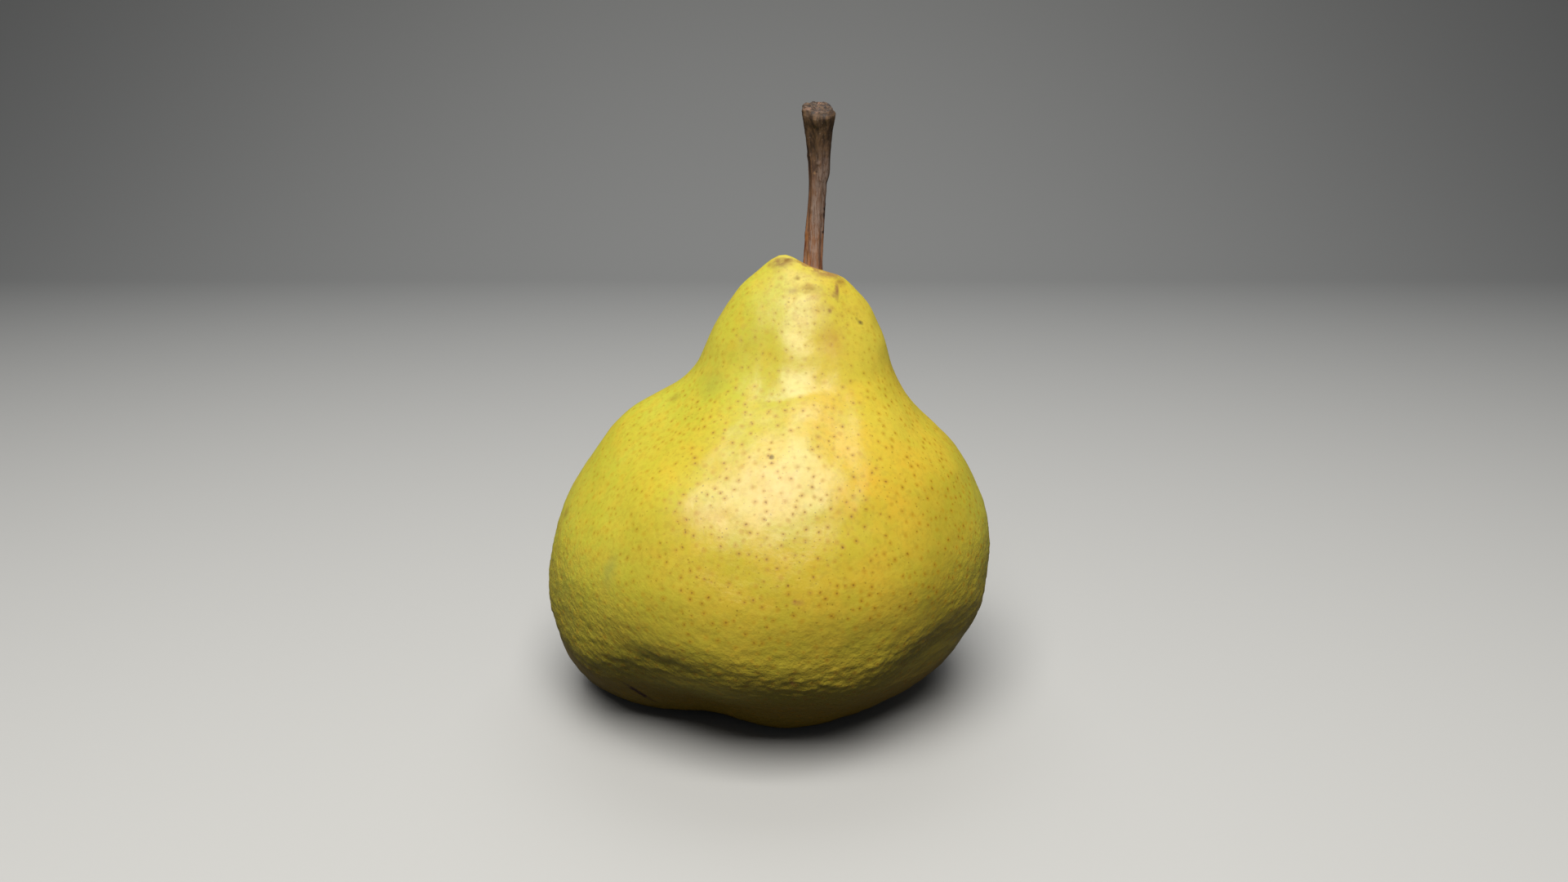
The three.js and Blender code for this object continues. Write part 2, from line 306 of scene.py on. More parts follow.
def keep(mesh, name, values, domain="POINT"):
    """Keeps a number or a place for each corner or face, for the material to read."""
    kind, part = ("FLOAT", "value") if values.ndim == 1 else ("FLOAT_VECTOR", "vector")
    layer = mesh.attributes.new(name, kind, domain)
    layer.data.foreach_set(part, values.astype(np.float32).ravel())


def paint(mesh, name, values):
    """Keeps a mask from 0 to 1 at each corner."""
    keep(mesh, name, np.clip(values, 0, 1))


def smoothed(mesh):
    mesh.polygons.foreach_set("use_smooth", [True] * len(mesh.polygons))


def show(thing):
    bpy.context.scene.collection.objects.link(thing)


def patches(points, spots):
    """How strongly each point lies in any of these soft patches: place, half sizes, strength."""
    total = np.zeros(len(points))
    for at, half, strength in spots:
        away = (((points - np.array(at)) / np.array(half)) ** 2).sum(1)
        total = np.maximum(total, strength * np.exp(-away))
    return total


# --- the fruit ---


def fruit_rings():
    """The skin as the solid has it: a turned outline with five lobes, leaned and pushed."""
    shares = [i + k / rings for i, rings in enumerate(SPAN_RINGS) for k in range(rings)]
    outline = along(OUTLINE, np.append(shares, len(SPAN_RINGS)) / len(SPAN_RINGS), True)
    rim = OUTLINE[-1][0]
    outline = np.vstack([outline, [(rim, z) for z in SOCKET], (0, SOCKET[-1])])
    angle = np.arange(FRUIT_AROUND) / FRUIT_AROUND * TAU
    radius, angle = np.meshgrid(outline[:, 0], angle, indexing="ij")
    height = np.repeat(outline[:, 1:], FRUIT_AROUND, axis=1)
    lobe = np.cos(LOBES * (angle - LOBE_AZIMUTH))
    strength = LOBE_DEPTH * lobe * ramp(LOBE_INNER, radius) * (1 - ramp(LOBE_HEIGHT, height))
    z = height - strength
    r = radius + strength / 2
    lean = ramp(LEAN_HEIGHT, z)
    shift = lean * (1 - ramp(SHIFT_RADIUS, r))
    x = r * np.cos(angle) + LEAN * lean + STEM_SHIFT[0] * shift
    y = r * np.sin(angle) + STEM_SHIFT[1] * shift
    rings = pushed(np.stack([x, y, z], -1), FRUIT_PUSHES)
    rings[..., 2] = np.maximum(rings[..., 2], 0)
    return rings


def above_heel(points):
    """How far each point lies above the edge where the belly turns under."""
    x, y, z = points.T
    turn = LOBES * (np.arctan2(y, x) - HEEL["azimuth"])
    drop = HEEL["left_drop"] * ramp((-7, -17), x)
    return z - HEEL["height"] + HEEL["swing"] * np.cos(turn) + drop


def leathery(points):
    """How wrinkled the skin is: smooth above, leathery on the low half and less so underneath."""
    x, y, z = points.T
    foot = 1 - ramp((13, 29), z)
    left = ramp((-8, -30), x) * (1 - 0.5 * ramp((-5, 25), y))
    sides = ramp((20, 34), np.abs(x)) * (1 - ramp((24, 40), z))
    whole = np.maximum.reduce([
        foot, left * (1 - ramp((16, 38), z)), 0.7 * sides, 0.2 * (1 - ramp((24, 44), z)),
    ])
    return whole * (0.3 + 0.7 * ramp((-6.5, -4), above_heel(points)))


def wrinkle_place(points):
    """Places measured along and across the wrinkles, which slant upwards at both sides."""
    x, y, z = points.T
    left, right = (np.hypot(d, 7) / 2 + d / 2 for d in (-14 - x, x - 20))
    return np.stack([0.95 * x, 0.95 * y, 1.2 * (z - 0.7 * left - 0.5 * right)], -1)


def skin_relief(points):
    """Height of the skin's own unevenness: broad swellings, and leathery wrinkles low down."""
    x, y, z = points.T
    lumps = sum(tall * grain(points, size, seed) for size, tall, seed in LUMPS) - LUMPS_SUNK
    flattened = wrinkle_place(points)
    wrinkles = sum(share * grain(flattened, size, seed) for size, share, seed in WRINKLES)
    creases = CREASE["lift"] - np.abs(grain(flattened, CREASE["size"], CREASE["seed"]))
    from_edge = above_heel(points)
    at_heel = np.exp(-((from_edge / WRINKLE_DEPTH["heel_width"]) ** 2))
    at_heel = at_heel * (1 - ramp((26, 33), np.abs(x)))
    depth = WRINKLE_DEPTH["leathery"] * leathery(points)
    depth = depth * (1 + WRINKLE_DEPTH["more_at_heel"] * at_heel) + WRINKLE_DEPTH["everywhere"]
    pit_x, pit_y, pit_z = STEM_PIT["at"]
    from_stem = np.hypot(x - pit_x, y - pit_y) + np.maximum(pit_z - z, 0)

    heel = HEEL["tall"] * np.exp(-((from_edge / HEEL["width"]) ** 2))
    from_fold = np.abs(z - FOLD["height"] - FOLD["slope"] * (x - FOLD["middle"]))
    reach = np.exp(-(((x - FOLD["middle"]) / FOLD["half"]) ** 4)) * (y < 0)
    fold = -FOLD["depth"] * np.exp(-from_fold / FOLD["width"]) * reach
    swellings = sum(
        tall * np.exp(-((points - np.array(at)) ** 2).sum(1) / wide**2)
        for at, wide, tall in SWELLINGS
    )
    worked = heel + fold + swellings - patches(points, POCKETS)
    return (lumps + depth * (wrinkles + creases)) * ramp(STEM_PIT["fade"], from_stem) + worked


def lenticels(mesh, seed):
    """Scatters dots over the skin and keeps, on each face, the dot nearest to it and its size."""
    lot = np.random.RandomState(seed)
    area = np.zeros(len(mesh.polygons), np.float32)
    mesh.polygons.foreach_get("area", area)
    middle = vectors(mesh.polygons, "center") / MM
    tries = int(DOT_SHARE * area.sum() / MM**2)
    chosen = lot.choice(len(area), tries, p=area.astype(float) / area.sum(dtype=float))
    spots = middle[chosen] + lot.uniform(-0.2, 0.2, (tries, 3))
    kept, cells = [], {}
    for spot in spots:
        home = tuple((spot // DOT_SPACING).astype(int))
        around = [
            other for step in np.ndindex(3, 3, 3)
            for other in cells.get(tuple(home[k] + step[k] - 1 for k in range(3)), ())
        ]
        if all(((spot - other) ** 2).sum() > DOT_SPACING**2 for other in around):
            kept.append(spot)
            cells.setdefault(home, []).append(spot)
    tree = kdtree.KDTree(len(kept))
    for index, spot in enumerate(kept):
        tree.insert(spot, index)
    tree.balance()
    nearest = np.array([tree.find(at)[1] for at in middle])
    sizes = lot.uniform(0, 1, len(kept)) ** 0.7
    keep(mesh, "dot_middle", np.array(kept)[nearest] * MM, "FACE")
    keep(mesh, "dot_size", sizes[nearest], "FACE")


def make_skin():
    mesh = rings_mesh("pear_skin", fruit_rings())
    points = corners(mesh)
    raised = points + normals(mesh) * skin_relief(points)[:, None]
    raised = np.clip(raised, *np.array(cad_box) / MM)
    set_corners(mesh, raised)
    lenticels(mesh, 7)

    x, y, z = raised.T
    drift = grain(raised, 9, 5.5)
    green = sum(share * ramp(across, x) * ramp(up, z) for share, across, up in GREEN_PARTS)
    paint(mesh, "green_side", green + 0.3 * drift * ramp((0, 20), z))
    paint(mesh, "gold_side", patches(raised, GOLD_PATCHES) * (1 + 0.25 * drift))
    stem_x, stem_y = RUSSET["at"]
    from_stem = np.hypot(x - stem_x, y - stem_y)
    paint(mesh, "russet", ramp(RUSSET["fade"], from_stem) * ramp(RUSSET["height"], z))
    paint(mesh, "crown", ramp((62, 72), z))
    neck = ramp((54, 62), z) * (1 - 0.8 * ramp((66, 72), z))
    paint(mesh, "pale", neck - patches(raised, GREEN_STREAK) + patches(raised, PALE_SHOULDER))
    paint(mesh, "freckled", patches(raised, FRECKLED_RIM))
    paint(mesh, "basin", (1 - ramp((5, 17), np.hypot(x, y))) * (1 - ramp((4, 9), z)))

    # painted shade: the right flank is darkened as though in shade (flank, shaded_side) and added to
    # the skin's own darker, browner colour towards the bottom
    flank = 0.36 * ramp((19, 27), x) * (1 - 0.5 * ramp((29, 35), x)) * (1 - ramp((38, 48), z))
    shaded_side = np.maximum(flank, 0.35 * ramp((14, 30), x) * (1 - ramp((22, 36), z)))
    lowness = 1 - ramp((6, 40), z)
    paint(mesh, "lower_tint_and_shade", np.maximum(lowness, np.minimum(lowness + shaded_side, 0.84)))
    paint(mesh, "leather", leathery(raised))
    keep(mesh, "wrinkle_place", wrinkle_place(raised) * MM)
    low_band = ramp((10, 16), z) * (1 - ramp((20, 32), z))
    faint = np.maximum(0.45 * ramp((-6, -24), x), 0.4 * low_band)
    paint(mesh, "dotted", (1 - faint) * (1 - 0.5 * ramp((50, 62), z)))
    return mesh


# --- the stem ---


def stem_rings():
    """The stem as the solid has it: a ridged rod along a curve, cut off aslant at the top."""
    share = np.linspace(0, 1, STEM_RINGS + 1)
    radius = along([(r, i) for i, (_, r) in enumerate(STEM)], share, True)[:, 0]
    cap_share = np.linspace(0, 1, CAP_RINGS + 1)[1:]
    cap = along([(radius[-1] / STEM[-1][1], 0)] + CUT_CAP, cap_share, True)
    radius = np.concatenate([[0, radius[0] * 0.6], radius, cap[:, 0] * STEM[-1][1]])
    share = np.concatenate([[0, 0], share, np.ones(len(cap))])
    rise = np.concatenate([np.zeros(STEM_RINGS + 3), cap[:, 1]])
    path = [at for at, _ in STEM]
    middle = along(path, share, False)
    ahead, behind = along(path, share + 1e-4, False), along(path, share - 1e-4, False)
    forward = (ahead - behind) / np.linalg.norm(ahead - behind, axis=1)[:, None]
    side = np.cross([0, 1, 0], forward)
    side /= np.linalg.norm(side, axis=1)[:, None]
    back = np.cross(forward, side)
    angle = np.arange(STEM_AROUND) / STEM_AROUND * TAU
    ridge = 1 + RIDGE_DEPTH * np.cos(STEM_RIDGES * (angle + RIDGE_TWIST * share[:, None]))
    r = radius[:, None] * ridge
    slant = CUT_SLANT * r * np.sin(angle) * ramp((0.88, 1), share)[:, None]
    rings = middle[:, None] + side[:, None] * (r * np.cos(angle))[..., None]
    rings = rings + back[:, None] * (r * np.sin(angle))[..., None]
    rings = rings + forward[:, None] * (rise[:, None] + slant)[..., None]
    return pushed(rings, STEM_PUSHES)


def bark_relief(points):
    """Height of the bark: fine lengthwise cords, small knots, and the torn wood of the cut."""
    lengthwise = points * np.array([1, 1, BARK["drawn_out"]])
    cords = grain(lengthwise, 0.5, 2.2) + 0.6 * grain(lengthwise, 0.26, 8.1)
    knots = np.maximum(grain(points, 1.2, 4.4) - 0.3, 0)
    torn = grain(points, 0.75, 6.6) + 0.5 * grain(points, 0.4, 2.9) - 0.3
    cut = ramp(BARK["cut"], points[:, 2])
    return BARK["cords"] * cords + BARK["knots"] * knots * (1 - cut) + BARK["torn"] * cut * torn


def make_stem():
    mesh = rings_mesh("pear_stem", stem_rings())
    points = corners(mesh)
    raised = points + normals(mesh) * bark_relief(points)[:, None]
    raised[:, 2] = np.minimum(raised[:, 2], cad_box[1][2] / MM)
    set_corners(mesh, raised)
    x, y, z = raised.T
    paint(mesh, "chestnut", 1 - ramp((73, 84), z + 2.5 * grain(raised, 1.3, 1.1)))
    foot, top = STEM[0][0][2], STEM[-1][0][2]
    middle = along([at for at, _ in STEM], (z - foot) / (top - foot), False)
    # painted sheen: a grey streak down the side of the stem that faces one way, broken by streaks,
    # standing for a reflection
    turn = np.arctan2(y - middle[:, 1], x - middle[:, 0]) + 1.35
    streaks = grain(raised * np.array([1, 1, 0.15]), 0.8, 5.9)
    painted_sheen = np.cos(turn) * 0.5 + 0.5 + 0.35 * streaks
    painted_sheen = ramp((0.62, 0.95), painted_sheen) + 0.5 * ramp((0.15, 0.5), streaks)
    paint(mesh, "painted_sheen", painted_sheen * ramp((68, 74), z) * (1 - ramp((88, 94), z)))
    paint(mesh, "upper", ramp((85, 96), z + 1.5 * grain(raised, 2, 3.7)))
    like_cut = normals(mesh) @ np.array(CUT_FACES)
    paint(mesh, "cut_end", ramp((0.3, 0.8), like_cut) * ramp((96.8, 98), z))
    return mesh


# --- the dried calyx ---


def make_cup():
    outline = along(CUP, np.linspace(0, 1, CUP_RINGS), True)[::-1]
    angle = np.arange(CUP_AROUND) / CUP_AROUND * TAU
    rings = np.stack([
        outline[:, :1] * np.cos(angle), outline[:, :1] * np.sin(angle),
        np.repeat(outline[:, 1:], CUP_AROUND, axis=1),
    ], -1)
    mesh = rings_mesh("calyx_cup", rings)
    points = corners(mesh)
    wrinkles = 0.09 * grain(points * np.array([1, 1, 0.4]), 0.7, 5.2) - 0.03
    set_corners(mesh, points + normals(mesh) * wrinkles[:, None])
    return mesh


def leaf_blank():
    """One thin leaf that grows along X from the cup and curls down to its tip."""
    outline = along(SEPAL_OUTLINE, np.linspace(0, 1, LEAF_RINGS), True)
    angle = np.arange(LEAF_AROUND) / LEAF_AROUND * TAU
    width, share = outline[:, :1], outline[:, 1:]
    across = SEPAL["width"] * width * np.cos(angle)
    sag = SEPAL["drop"] * share + SEPAL["curl"] * share**2
    fold = 0.1 * np.abs(across) + 0.08 * np.sin(9 * share + 2 * across)
    z = SEPAL["top"] - sag + SEPAL["thick"] * width * np.sin(angle) + fold * width
    rings = np.stack([np.repeat(SEPAL["length"] * share, LEAF_AROUND, axis=1), across, z], -1)
    mesh = rings_mesh("calyx_leaf", rings)
    points = corners(mesh)
    set_corners(mesh, points + normals(mesh) * (0.04 * grain(points, 0.6, 8.8))[:, None])
    return mesh


def between(tree, least, greatest, seed):
    """A random number for each copy, from the least to the greatest."""
    node = add(tree, "FunctionNodeRandomValue", data_type="FLOAT", Seed=seed)
    feed(tree, node.inputs[2], least)
    feed(tree, node.inputs[3], greatest)
    return node.outputs[1]


def ring_tree(name, sizes):
    """A tree that sets copies of a mesh round a ring, turned outwards and a little uneven."""
    tree = bpy.data.node_groups.new(name, "GeometryNodeTree")
    kinds = {
        "Geometry": "Geometry", "Copies": "Int", "Ring radius": "Float", "Least radius": "Float",
        "Least size": "Float", "Greatest size": "Float", "Sway": "Float", "Seed": "Int",
        "Material": "Material",
    }
    keys = {}
    for label, kind in kinds.items():
        kind = "NodeSocket" + kind
        socket = tree.interface.new_socket(label, in_out="INPUT", socket_type=kind)
        keys[label] = socket.identifier
    tree.interface.new_socket("Geometry", in_out="OUTPUT", socket_type="NodeSocketGeometry")
    into, out = tree.nodes.new("NodeGroupInput").outputs, tree.nodes.new("NodeGroupOutput")

    circle = add(tree, "GeometryNodeMeshCircle", into["Copies"], into["Ring radius"])
    place_at = add(tree, "GeometryNodeInputPosition").outputs[0]
    inward = between(tree, into["Least radius"], 1.0, into["Seed"])
    nearer = add(tree, VECTORS, place_at, operation="SCALE", Scale=inward)
    spread = add(tree, "GeometryNodeSetPosition", Geometry=circle.outputs[0],
                 Position=nearer.outputs[0])

    outward = add(tree, "FunctionNodeAlignRotationToVector", axis="X", pivot_axis="Z",
                  Vector=place_at)
    sway = between(tree, times(tree, into["Sway"], -1.0), into["Sway"],
                   plus(tree, into["Seed"], 1.0))
    swing = add(tree, "ShaderNodeCombineXYZ", Z=sway)
    turned = add(tree, "FunctionNodeEulerToRotation", swing.outputs[0])
    facing = add(tree, "FunctionNodeRotateRotation", outward.outputs[0], turned.outputs[0])

    size = between(tree, into["Least size"], into["Greatest size"], plus(tree, into["Seed"], 2.0))
    stretch = add(tree, "ShaderNodeCombineXYZ", X=size, Y=1.0, Z=1.0)
    copies = add(tree, "GeometryNodeInstanceOnPoints", Points=spread.outputs[0],
                 Instance=into["Geometry"], Rotation=facing.outputs[0], Scale=stretch.outputs[0])
    real = add(tree, "GeometryNodeRealizeInstances", copies.outputs[0])
    finish = add(tree, "GeometryNodeSetMaterial", Geometry=real.outputs[0],
                 Material=into["Material"])
    join(tree, finish.outputs[0], out.inputs[0])
    return tree, {keys[label]: value for label, value in sizes.items()}


def grown(blank, tree, values):
    """The plain mesh that a tree makes from this blank."""
    holder = bpy.data.objects.new(blank.name, blank)
    show(holder)
    growth = holder.modifiers.new("growth", "NODES")
    growth.node_group = tree
    for key, value in values.items():
        growth[key] = value
    evaluated = holder.evaluated_get(bpy.context.evaluated_depsgraph_get())
    mesh = bpy.data.meshes.new_from_object(evaluated)
    holder.modifiers.remove(growth)
    bpy.data.objects.remove(holder)
    return mesh


def thread_blank():
    """One dry thread that hangs from the middle of the cup and bends outwards."""
    share = np.linspace(0, 1, THREAD_RINGS)[:, None]
    angle = np.arange(THREAD_AROUND) / THREAD_AROUND * TAU
    radius = STAMEN["radius"] * (1 - 0.8 * share)
    bend = STAMEN["bend"] * share**2
    rings = np.stack([
        bend + radius * np.cos(angle), radius * np.sin(angle) + 0 * share,
        STAMEN["top"] - STAMEN["length"] * share + 0 * angle,
    ], -1)[::-1]
    tip, root = (np.repeat(end.mean(1, keepdims=True), THREAD_AROUND, 1)
                 for end in (rings[:1], rings[-1:]))
    return rings_mesh("calyx_thread", np.concatenate([tip, rings, root]))


def joined(name, meshes):
    whole = bmesh.new()
    for mesh in meshes:
        whole.from_mesh(mesh)
    mesh = bpy.data.meshes.new(name)
    whole.to_mesh(mesh)
    whole.free()
    return mesh


def make_calyx(material):
    leaf_tree, leaf_sizes = ring_tree("calyx_leaves", {
        "Copies": SEPALS, "Ring radius": SEPAL["root"] * MM, "Least radius": 0.95,
        "Least size": 0.92, "Greatest size": 1.06, "Sway": 0.12, "Seed": 41, "Material": material,
    })
    thread_tree, thread_sizes = ring_tree("calyx_threads", {
        "Copies": STAMENS, "Ring radius": STAMEN["spread"] * MM, "Least radius": 0.45,
        "Least size": 0.8, "Greatest size": 1.2, "Sway": 0.9, "Seed": 17, "Material": material,
    })
    leaves = grown(leaf_blank(), leaf_tree, leaf_sizes)
    threads = grown(thread_blank(), thread_tree, thread_sizes)
    return joined("pear_calyx", [make_cup(), leaves, threads])


# --- nodes of the materials ---

VECTORS = "ShaderNodeVectorMath"


def new_material(name):
    material = bpy.data.materials.new(name)
    material.use_nodes = True
    tree = material.node_tree
    return material, tree, tree.nodes["Principled BSDF"]


def add(tree, kind, *values, **settings):
    """A node of this kind, its sockets fed in order; a setting names a socket or a property."""
    node = tree.nodes.new(kind)
    for name, value in settings.items():
        if name in node.inputs:
            feed(tree, node.inputs[name], value)
        else:
            setattr(node, name, value)
    for socket, value in zip(node.inputs, values):
        feed(tree, socket, value)
    return node


def join(tree, source, target):
    tree.links.new(source, target)


def feed(tree, target, value):
    """Gives a socket a value, or links another socket to it."""
    if isinstance(value, bpy.types.NodeSocket):
        join(tree, value, target)
    else:
        target.default_value = value


def mix(tree, mask, low, high):
    """Mixes two colours by a mask."""
    node = add(tree, "ShaderNodeMix", data_type="RGBA")
    for index, value in ((0, mask), (6, low), (7, high)):
        feed(tree, node.inputs[index], value)
    return node.outputs[2]


def sums(tree, operation, first, second, kind="ShaderNodeMath"):
    """Reckons with two numbers or, with the other kind of node, two vectors."""
    return add(tree, kind, first, second, operation=operation).outputs[0]


def times(tree, first, second):
    return sums(tree, "MULTIPLY", first, second)


def plus(tree, first, second):
    return sums(tree, "ADD", first, second)


def tinted(tree, colour, mask, share, tint):
    """Lays a tint on a colour where the mask is, this strongly at the most."""
    return mix(tree, times(tree, mask, share), colour, tint)


def smooth(tree, value, low, high, start=0.0, end=1.0):
    """Turns a value between low and high into one between start and end, smoothly."""
    return add(tree, "ShaderNodeMapRange", value, low, high, start, end,
               interpolation_type="SMOOTHSTEP").outputs[0]


def painted(tree, name, kind="Fac"):
    """Reads a number, or with "Vector" a place, that the mesh keeps."""
    return add(tree, "ShaderNodeAttribute", attribute_name=name).outputs[kind]


def new_group(name, inputs, output):
    """A group of nodes with named inputs, each a number or a vector, and one output."""
    group = bpy.data.node_groups.new(name, "ShaderNodeTree")
    for label, value in inputs.items():
        kind = "NodeSocketFloat" if isinstance(value, (int, float)) else "NodeSocketVector"
        socket = group.interface.new_socket(label, in_out="INPUT", socket_type=kind)
        if value is not None:
            socket.default_value = value
    kind = "NodeSocketVector" if output == "Vector" else "NodeSocketFloat"
    group.interface.new_socket(output, in_out="OUTPUT", socket_type=kind)
    into, out = group.nodes.new("NodeGroupInput"), group.nodes.new("NodeGroupOutput")
    return group, into.outputs, out.inputs[output]


def use(tree, group, **values):
    """Places a group; an underscore in a value's name stands for a blank in its socket's."""
    node = tree.nodes.new("ShaderNodeGroup")
    node.node_tree = group
    for name, value in values.items():
        feed(tree, node.inputs[name.replace("_", " ")], value)
    return node.outputs[0]


def cloud_group():
    """Soft patches of noise as a mask from 0 to 1."""
    group, into, out = new_group(
        "soft_clouds", {"Vector": None, "Lumps per metre": 300.0, "Low": 0.35, "High": 0.65},
        "Mask",
    )
    field = add(group, "ShaderNodeTexNoise", into["Vector"], Scale=into["Lumps per metre"],
                Detail=3.0, Roughness=0.6)
    join(group, smooth(group, field.outputs["Fac"], into["Low"], into["High"]), out)
    return group


def wobble_group():
    """Bends the coordinates a little, so that nothing drawn on them has a perfect edge."""
    group, into, out = new_group(
        "bent_place", {"Vector": None, "Lumps per metre": 800.0, "Reach": 0.0004}, "Vector",
    )
    warp = add(group, "ShaderNodeTexNoise", into["Vector"], Scale=into["Lumps per metre"],
               Detail=2.0)
    centred = sums(group, "SUBTRACT", warp.outputs["Color"], (0.5,) * 3, VECTORS)
    sized = add(group, VECTORS, centred, operation="SCALE", Scale=into["Reach"])
    join(group, sums(group, "ADD", into["Vector"], sized.outputs[0], VECTORS), out)
    return group


def dots_group():
    """Round dots of uneven size and strength, soft at the edge, as a mask from 0 to 1."""
    group, into, out = new_group(
        "scattered_dots",
        {"Vector": None, "Cells per metre": 700.0, "Radius": 0.3, "Sparseness": 0.2}, "Mask",
    )
    cells = add(group, "ShaderNodeTexVoronoi", into["Vector"], Scale=into["Cells per metre"],
                feature="F1", Randomness=1.0)
    lot = add(group, "ShaderNodeSeparateColor", cells.outputs["Color"])
    kept = smooth(group, lot.outputs[0], into["Sparseness"], plus(group, into["Sparseness"], 0.5))
    size = plus(group, times(group, lot.outputs[1], 0.7), 0.6)
    edge = times(group, into["Radius"], size)
    dot = smooth(group, cells.outputs["Distance"], times(group, edge, 0.25), edge, 1.0, 0.0)
    join(group, times(group, dot, kept), out)
    return group


def mark_group():
    """One soft oval mark: 1 at its middle and 0 past its half sizes."""
    group, into, out = new_group(
        "oval_mark", {"Vector": None, "Middle": (0.0,) * 3, "Half sizes": (1.0,) * 3, "Core": 0.2},
        "Mask",
    )
    away = sums(group, "SUBTRACT", into["Vector"], into["Middle"], VECTORS)
    away = sums(group, "DIVIDE", away, into["Half sizes"], VECTORS)
    length = add(group, VECTORS, away, operation="LENGTH").outputs["Value"]
    join(group, smooth(group, length, into["Core"], 1.0, 1.0, 0.0), out)
    return group


def relief_group():
    """Height of a fine surface grain: coarse lumps with finer ones on them."""
    group, into, out = new_group(
        "fine_grain", {"Vector": None, "Lumps per metre": 1500.0, "Fine share": 0.4}, "Height",
    )
    coarse = add(group, "ShaderNodeTexNoise", Detail=2.0)
    fine = add(group, "ShaderNodeTexNoise", Detail=3.0, Roughness=0.65)
    for node, scale in ((coarse, 1.0), (fine, 3.7)):
        join(group, into["Vector"], node.inputs["Vector"])
        join(group, times(group, into["Lumps per metre"], scale), node.inputs["Scale"])
    finer = times(group, fine.outputs["Fac"], into["Fine share"])
    join(group, plus(group, coarse.outputs["Fac"], finer), out)
    return group


KIT = {
    "clouds": cloud_group(), "wobble": wobble_group(), "dots": dots_group(), "mark": mark_group(),
    "relief": relief_group(),
}


def clouds(tree, place, millimetres, low=0.35, high=0.65):
    """Soft clouds whose lumps are about this many millimetres across."""
    return use(tree, KIT["clouds"], Vector=place, Lumps_per_metre=1 / (millimetres * MM),
               Low=low, High=high)


def dots(tree, place, spacing, radius, sparseness):
    """Scattered dots, with their spacing and greatest radius in millimetres."""
    return use(tree, KIT["dots"], Vector=place, Cells_per_metre=1 / (spacing * MM),
               Radius=radius / spacing, Sparseness=sparseness)


def oval(tree, place, middle, half, firmness):
    """An oval mark with its middle and half sizes in millimetres."""
    return use(tree, KIT["mark"], Vector=place, Middle=[v * MM for v in middle],
               Half_sizes=[v * MM for v in half], Core=firmness)


def grained(tree, shader, height, strength, depth):
    """Gives a surface its fine relief."""
    bump = add(tree, "ShaderNodeBump", Strength=strength, Distance=depth, Height=height)
    join(tree, bump.outputs[0], shader.inputs["Normal"])


def rgb(red, green, blue):
    """A colour from its values on a screen, 0 to 255."""
    shares = (red / 255, green / 255, blue / 255)
    linear = [v / 12.92 if v <= 0.04045 else ((v + 0.055) / 1.055) ** 2.4 for v in shares]
    return (*linear, 1)


# --- materials ---

OLIVE_BROWN, RED_BROWN, DARK_BROWN = rgb(150, 118, 48), rgb(134, 78, 44), rgb(84, 58, 34)
BRUISE, DULL_GREEN = rgb(198, 146, 54), rgb(160, 160, 64)
SKIN = {
    "ripe": rgb(216, 192, 58), "greener": rgb(202, 200, 68), "gold": rgb(232, 186, 54),
    "pale": rgb(236, 216, 86), "lower_tint_and_shade": rgb(144, 125, 28), "underneath": rgb(150, 110, 30),
    "freckled": rgb(186, 140, 60), "russet": rgb(150, 106, 54), "basin": rgb(128, 96, 50),
}

# clouds of other tints: size of the lumps, where they begin and are full, strength and tint
SKIN_CLOUDS = [
    (7, 0.35, 0.65, 0.5, rgb(200, 195, 56)), (2.6, 0.4, 0.7, 0.35, rgb(226, 186, 58)),
    (1.1, 0.45, 0.65, 0.25, rgb(222, 206, 70)), (0.8, 0.45, 0.68, 0.34, rgb(186, 160, 48)),
]

# the dots: least and greatest radius in millimetres, strength, tint on smooth and leathery skin
HALOS = {"radius": (0.3, 0.7), "share": 0.5, "tints": (rgb(190, 140, 10), rgb(186, 126, 10))}
CORES = {"radius": (0.13, 0.25), "share": 0.66, "tints": (rgb(122, 80, 6), rgb(138, 78, 6))}

# roughness of the plain skin, and what clouds, dots and marks add to it
PLAIN_ROUGHNESS = 0.3
ROUGHER = {"clouds": 0.06, "dots": 0.09, "mark": 0.3, "russet": 0.3, "crown": 0.1, "leather": 0.12}

